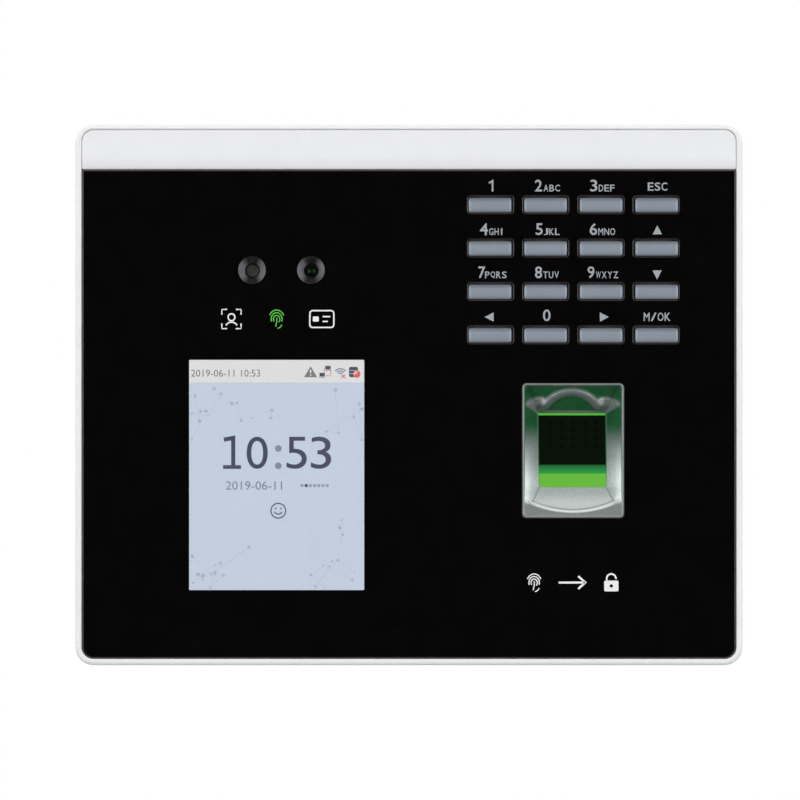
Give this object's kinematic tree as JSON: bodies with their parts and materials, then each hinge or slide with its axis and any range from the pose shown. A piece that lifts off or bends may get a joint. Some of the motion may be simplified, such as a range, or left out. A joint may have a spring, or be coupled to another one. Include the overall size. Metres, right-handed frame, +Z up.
{
  "type": "fingerprint access control terminal",
  "caption": "Wall-mounted access terminal with a black front panel, small screen, face cameras, keypad, fingerprint reader and hook-on wall plate.",
  "frame": {"origin": "centre of the four wall screw holes, on the back face of the wall plate", "axes": "+Z up, front faces -Y, +X to the right as seen from the front, and the wall is the plane y = 0"},
  "size_m": [0.167, 0.032, 0.1352],
  "materials": {
    "white_shell": "moulded white plastic, satin",
    "light_strip": "moulded off-white plastic, smooth",
    "black_panel": "acrylic sheet printed black behind, high gloss",
    "screen_glass": "lit liquid crystal screen behind glass",
    "steel_tray": "bright plated sheet steel",
    "foam_black": "closed-cell foam",
    "shroud_grey": "dark grey satin plastic",
    "lens_black": "black anodised barrel with a coated glass",
    "circuit_board": "green solder mask over glass fibre",
    "key_grey": "blue-grey satin plastic",
    "silicone": "translucent grey silicone",
    "silver_bezel": "silver metallic paint, fine grain",
    "green_prism": "optical glass lit green from below",
    "black_moulding": "black moulded plastic",
    "green_moulding": "green moulded plastic",
    "blue_moulding": "blue moulded plastic",
    "cell_steel": "bright steel",
    "speaker_paper": "black cone over a dark magnet",
    "ivory_pin": "ivory moulded plastic",
    "ribbon_amber": "amber polyimide film",
    "lead_black": "black sleeve",
    "lead_red": "red and black twisted leads",
    "plated_screw": "zinc plated steel",
    "plate_steel": "galvanised sheet steel"
  },
  "bodies": {
    "wall_mount": {"wall_plate": "plate_steel", "lock_screw": "plated_screw"},
    "terminal": {"front_frame": "white_shell", "top_trim": "light_strip", "front_panel": "black_panel", "display_screen": "screen_glass", "display_backlight": "steel_tray", "display_gasket": "foam_black", "camera_shroud_left": "shroud_grey", "camera_shroud_right": "shroud_grey", "camera_lens_left": "lens_black", "camera_lens_right": "lens_black", "camera_board": "circuit_board", "keypad_mat": "silicone", "keypad_board": "circuit_board", "fingerprint_bezel": "silver_bezel", "fingerprint_prism": "green_prism", "sensor_holder": "black_moulding", "sensor_board": "circuit_board", "main_board": "circuit_board", "processor_shield": "steel_tray", "network_socket": "steel_tray", "power_jack": "black_moulding", "wiring_terminals": "green_moulding", "lock_relay": "blue_moulding", "coin_cell": "cell_steel", "coin_cell_holder": "black_moulding", "buzzer": "black_moulding", "speaker": "speaker_paper", "speaker_gasket": "foam_black", "usb_board": "circuit_board", "usb_socket": "steel_tray", "tamper_switch": "black_moulding", "display_ribbon": "ribbon_amber", "camera_ribbon": "ribbon_amber", "keypad_ribbon": "ribbon_amber", "sensor_cable": "lead_black", "speaker_cable": "lead_red", "usb_cable": "lead_black", "rear_housing": "white_shell", "housing_screws": "plated_screw", "board_screws": "plated_screw"},
    "key_1_cap": {"key_1": "key_grey"},
    "key_2_cap": {"key_2": "key_grey"},
    "key_3_cap": {"key_3": "key_grey"},
    "key_escape_cap": {"key_escape": "key_grey"},
    "key_4_cap": {"key_4": "key_grey"},
    "key_5_cap": {"key_5": "key_grey"},
    "key_6_cap": {"key_6": "key_grey"},
    "key_up_cap": {"key_up": "key_grey"},
    "key_7_cap": {"key_7": "key_grey"},
    "key_8_cap": {"key_8": "key_grey"},
    "key_9_cap": {"key_9": "key_grey"},
    "key_down_cap": {"key_down": "key_grey"},
    "key_left_cap": {"key_left": "key_grey"},
    "key_0_cap": {"key_0": "key_grey"},
    "key_right_cap": {"key_right": "key_grey"},
    "key_ok_cap": {"key_ok": "key_grey"},
    "tamper_pin": {"tamper_plunger": "ivory_pin"},
    "reset_stem": {"reset_button": "black_moulding"}
  },
  "joints": [
    {"name": "terminal_lift", "type": "slide", "parent": "wall_mount", "child": "terminal", "axis": [0, 0, 1], "range_m": [0, 0.008]},
    {"name": "key_1_press", "type": "slide", "parent": "terminal", "child": "key_1_cap", "axis": [0, 1, 0], "range_m": [0, 0.0008], "stiffness_N_per_m": 1000, "springref_m": -0.0005},
    {"name": "key_2_press", "type": "slide", "parent": "terminal", "child": "key_2_cap", "axis": [0, 1, 0], "range_m": [0, 0.0008], "stiffness_N_per_m": 1000, "springref_m": -0.0005},
    {"name": "key_3_press", "type": "slide", "parent": "terminal", "child": "key_3_cap", "axis": [0, 1, 0], "range_m": [0, 0.0008], "stiffness_N_per_m": 1000, "springref_m": -0.0005},
    {"name": "key_escape_press", "type": "slide", "parent": "terminal", "child": "key_escape_cap", "axis": [0, 1, 0], "range_m": [0, 0.0008], "stiffness_N_per_m": 1000, "springref_m": -0.0005},
    {"name": "key_4_press", "type": "slide", "parent": "terminal", "child": "key_4_cap", "axis": [0, 1, 0], "range_m": [0, 0.0008], "stiffness_N_per_m": 1000, "springref_m": -0.0005},
    {"name": "key_5_press", "type": "slide", "parent": "terminal", "child": "key_5_cap", "axis": [0, 1, 0], "range_m": [0, 0.0008], "stiffness_N_per_m": 1000, "springref_m": -0.0005},
    {"name": "key_6_press", "type": "slide", "parent": "terminal", "child": "key_6_cap", "axis": [0, 1, 0], "range_m": [0, 0.0008], "stiffness_N_per_m": 1000, "springref_m": -0.0005},
    {"name": "key_up_press", "type": "slide", "parent": "terminal", "child": "key_up_cap", "axis": [0, 1, 0], "range_m": [0, 0.0008], "stiffness_N_per_m": 1000, "springref_m": -0.0005},
    {"name": "key_7_press", "type": "slide", "parent": "terminal", "child": "key_7_cap", "axis": [0, 1, 0], "range_m": [0, 0.0008], "stiffness_N_per_m": 1000, "springref_m": -0.0005},
    {"name": "key_8_press", "type": "slide", "parent": "terminal", "child": "key_8_cap", "axis": [0, 1, 0], "range_m": [0, 0.0008], "stiffness_N_per_m": 1000, "springref_m": -0.0005},
    {"name": "key_9_press", "type": "slide", "parent": "terminal", "child": "key_9_cap", "axis": [0, 1, 0], "range_m": [0, 0.0008], "stiffness_N_per_m": 1000, "springref_m": -0.0005},
    {"name": "key_down_press", "type": "slide", "parent": "terminal", "child": "key_down_cap", "axis": [0, 1, 0], "range_m": [0, 0.0008], "stiffness_N_per_m": 1000, "springref_m": -0.0005},
    {"name": "key_left_press", "type": "slide", "parent": "terminal", "child": "key_left_cap", "axis": [0, 1, 0], "range_m": [0, 0.0008], "stiffness_N_per_m": 1000, "springref_m": -0.0005},
    {"name": "key_0_press", "type": "slide", "parent": "terminal", "child": "key_0_cap", "axis": [0, 1, 0], "range_m": [0, 0.0008], "stiffness_N_per_m": 1000, "springref_m": -0.0005},
    {"name": "key_right_press", "type": "slide", "parent": "terminal", "child": "key_right_cap", "axis": [0, 1, 0], "range_m": [0, 0.0008], "stiffness_N_per_m": 1000, "springref_m": -0.0005},
    {"name": "key_ok_press", "type": "slide", "parent": "terminal", "child": "key_ok_cap", "axis": [0, 1, 0], "range_m": [0, 0.0008], "stiffness_N_per_m": 1000, "springref_m": -0.0005},
    {"name": "tamper_press", "type": "slide", "parent": "terminal", "child": "tamper_pin", "axis": [0, -1, 0], "range_m": [0, 0.001], "stiffness_N_per_m": 500, "springref_m": -0.001},
    {"name": "reset_press", "type": "slide", "parent": "terminal", "child": "reset_stem", "axis": [0, 0, 1], "range_m": [0, 0.0003], "stiffness_N_per_m": 2000, "springref_m": -0.0003}
  ]
}
